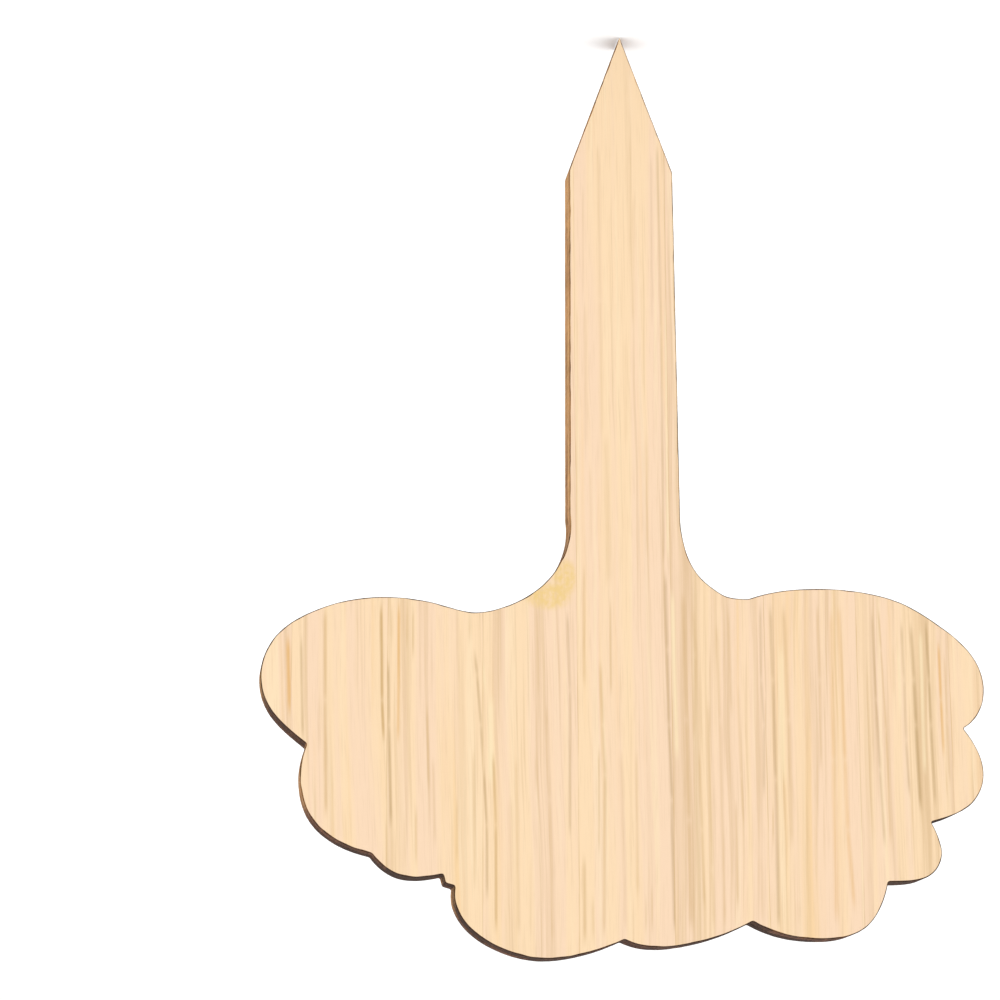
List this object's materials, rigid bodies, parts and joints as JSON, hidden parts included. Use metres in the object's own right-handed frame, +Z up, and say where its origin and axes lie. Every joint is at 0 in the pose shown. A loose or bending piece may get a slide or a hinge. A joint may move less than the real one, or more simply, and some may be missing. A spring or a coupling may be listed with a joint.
{
  "type": "plant label stake",
  "caption": "Flat wooden plant label stake: a wide scalloped, cloud-shaped writing plate above a straight stem with a sharp point.",
  "frame": {"origin": "tip of the point, on the stem's centre line and in the middle of the sheet's thickness", "axes": "+Z up the stem to the plate, -Y out of the front face, +X across the plate"},
  "size_m": [0.06, 0.003, 0.079],
  "materials": {
    "front_ply": "pale planed bamboo with charred cut edges, satin",
    "back_ply": "pale planed bamboo with charred cut edges, satin"
  },
  "bodies": {
    "root": {"front_strip_middle": "front_ply", "front_strip_left_1": "front_ply", "front_strip_left_2": "front_ply", "front_strip_left_3": "front_ply", "front_strip_left_4": "front_ply", "front_strip_right_1": "front_ply", "front_strip_right_2": "front_ply", "front_strip_right_3": "front_ply", "front_strip_right_4": "front_ply", "back_strip_left_1": "back_ply", "back_strip_left_2": "back_ply", "back_strip_left_3": "back_ply", "back_strip_left_4": "back_ply", "back_strip_right_1": "back_ply", "back_strip_right_2": "back_ply", "back_strip_right_3": "back_ply", "back_strip_right_4": "back_ply"}
  },
  "joints": []
}
